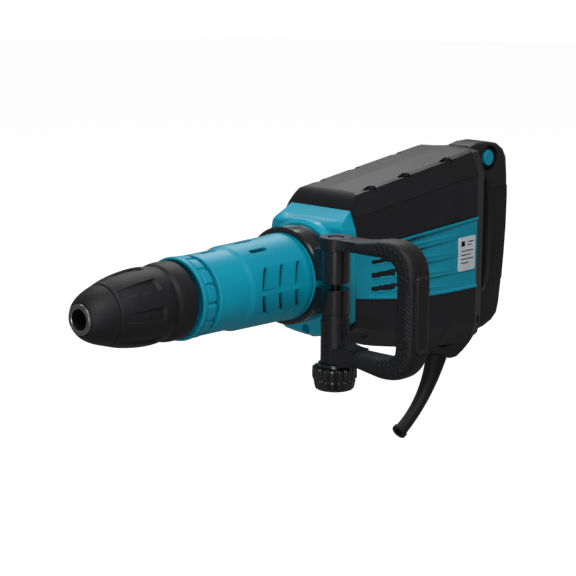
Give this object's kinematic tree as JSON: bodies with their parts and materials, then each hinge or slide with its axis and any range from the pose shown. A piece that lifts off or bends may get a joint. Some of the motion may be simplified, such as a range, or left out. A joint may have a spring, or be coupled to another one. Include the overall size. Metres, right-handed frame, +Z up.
{
  "type": "electric demolition hammer",
  "caption": "Electric demolition hammer with chisel chuck, ventilated barrel, swinging D-shaped side handle, boxy motor body and sprung rear D-handle.",
  "frame": {"origin": "middle of the tool holder's mouth, on the barrel axis", "axes": "+X rearwards along the barrel axis, +Z up with the rear handle upright, -Y towards the side handle"},
  "size_m": [0.576, 0.206, 0.2914],
  "materials": {
    "black_plastic": "moulded glass-filled nylon, fine spark-eroded grain",
    "black_gloss": "glossy black cast and painted clamp parts",
    "black_rubber": "soft overmoulded elastomer",
    "teal_plastic": "teal moulded plastic",
    "teal_paint": "teal enamel on cast aluminium",
    "steel": "ground hardened steel",
    "black_steel": "blackened steel",
    "aluminium": "die-cast aluminium",
    "copper": "copper commutator bars",
    "core_steel": "stacked lamination steel",
    "carbon": "pressed carbon",
    "label": "printed blank plate",
    "lens": "clear green lamp lens"
  },
  "bodies": {
    "housing": {"barrel": "aluminium", "barrel_cover": "teal_plastic", "cylinder": "steel", "gear_housing": "teal_paint", "gear_housing_screws": "black_steel", "top_cover": "black_plastic", "top_cover_screws": "black_steel", "motor_housing": "black_plastic", "side_panel_near": "teal_plastic", "side_panel_far": "teal_plastic", "label_plate": "label", "bottom_cover": "black_plastic", "bottom_cover_screws": "black_steel", "rear_cover": "black_plastic", "handle_pivot_pin": "steel", "handle_bellows": "black_rubber", "handle_spring": "steel", "indicator_lenses": "lens", "controller": "black_plastic", "cord_clamp": "black_plastic", "cord_guard": "black_rubber", "gear_bearings": "steel", "motor_bearings": "steel", "stator": "core_steel", "carbon_brushes": "carbon", "brush_holders": "copper"},
    "chuck": {"tool_holder": "steel", "locking_rollers": "steel", "nose_cap": "black_rubber", "spring_seat": "steel", "sleeve_spring": "steel"},
    "sleeve": {"chuck_sleeve": "black_rubber"},
    "angle_ring": {"change_ring": "teal_plastic"},
    "side_clamp": {"clamp_band": "black_gloss", "clamp_bolt": "steel"},
    "side_grip": {"side_grip_frame": "black_plastic", "side_grip_overmould": "black_rubber"},
    "knob": {"clamp_knob": "black_gloss"},
    "handle": {"rear_handle": "black_plastic", "rear_handle_grip": "black_rubber", "switch_module": "black_plastic"},
    "switch": {"switch_lever": "teal_plastic"},
    "dial": {"speed_dial": "black_plastic"},
    "crank": {"crankshaft": "steel", "crank_gear": "steel"},
    "conrod": {"connecting_rod": "steel", "gudgeon_pin": "steel"},
    "layshaft": {"lay_shaft": "steel", "lay_gear": "steel", "lay_pinion": "steel"},
    "armature": {"armature_shaft": "steel", "armature_core": "core_steel", "commutator": "copper", "fan": "black_plastic", "motor_pinion": "steel"},
    "piston_body": {"piston": "aluminium", "piston_ring": "black_rubber"},
    "striker_body": {"striker": "steel", "striker_o_ring": "black_rubber"},
    "impact_bolt_body": {"impact_bolt": "steel"}
  },
  "joints": [
    {"name": "chisel_angle_turn", "type": "hinge", "parent": "housing", "child": "chuck", "pos_m": [0.1, 0, 0], "axis": [1, 0, 0], "continuous": true},
    {"name": "sleeve_slide", "type": "slide", "parent": "chuck", "child": "sleeve", "axis": [1, 0, 0], "range_m": [0, 0.008], "stiffness_N_per_m": 1500, "springref_m": -0.004, "deforming": ["sleeve_spring"]},
    {"name": "change_ring_slide", "type": "slide", "parent": "chuck", "child": "angle_ring", "axis": [-1, 0, 0], "range_m": [0, 0.004], "stiffness_N_per_m": 1500, "springref_m": -0.004},
    {"name": "side_handle_swing", "type": "hinge", "parent": "housing", "child": "side_clamp", "pos_m": [0.26, 0, 0], "axis": [1, 0, 0], "continuous": true},
    {"name": "side_grip_pivot", "type": "hinge", "parent": "side_clamp", "child": "side_grip", "pos_m": [0.255, -0.058, 0], "axis": [0, 0, 1], "range_deg": [-60, 45]},
    {"name": "clamp_knob_turn", "type": "hinge", "parent": "side_clamp", "child": "knob", "pos_m": [0.255, -0.058, -0.08], "axis": [0, 0, 1], "continuous": true},
    {"name": "rear_handle_damper", "type": "hinge", "parent": "housing", "child": "handle", "pos_m": [0.498, 0, -0.075], "axis": [0, 1, 0], "range_deg": [-1.2, 1.2], "stiffness_Nm_per_rad": 2500, "deforming": ["handle_spring", "handle_bellows"]},
    {"name": "switch_slide", "type": "slide", "parent": "handle", "child": "switch", "axis": [0, 1, 0], "range_m": [0, 0.008]},
    {"name": "speed_dial_turn", "type": "hinge", "parent": "housing", "child": "dial", "pos_m": [0.505, 0.018, 0.04], "axis": [1, 0, 0], "range_deg": [0, 270]},
    {"name": "crank_spin", "type": "hinge", "parent": "housing", "child": "crank", "pos_m": [0.35, 0, 0.02], "axis": [0, 0, 1], "continuous": true},
    {"name": "connecting_rod_swing", "type": "hinge", "parent": "crank", "child": "conrod", "pos_m": [0.339, 0, 0], "axis": [0, 0, 1], "continuous": true},
    {"name": "layshaft_spin", "type": "hinge", "parent": "housing", "child": "layshaft", "pos_m": [0.39425, 0, 0.03], "axis": [0, 0, 1], "continuous": true},
    {"name": "armature_spin", "type": "hinge", "parent": "housing", "child": "armature", "pos_m": [0.43025, 0, -0.03], "axis": [0, 0, 1], "continuous": true},
    {"name": "piston_slide", "type": "slide", "parent": "housing", "child": "piston_body", "axis": [1, 0, 0], "range_m": [0, 0.022]},
    {"name": "striker_slide", "type": "slide", "parent": "housing", "child": "striker_body", "axis": [1, 0, 0], "range_m": [0, 0.015]},
    {"name": "impact_bolt_slide", "type": "slide", "parent": "housing", "child": "impact_bolt_body", "axis": [1, 0, 0], "range_m": [0, 0.006]}
  ],
  "couplings": [
    {"joint": "connecting_rod_swing", "follows": "crank_spin", "ratio": -1},
    {"joint": "layshaft_spin", "follows": "crank_spin", "ratio": -3.2143},
    {"joint": "armature_spin", "follows": "crank_spin", "ratio": 12.214}
  ]
}
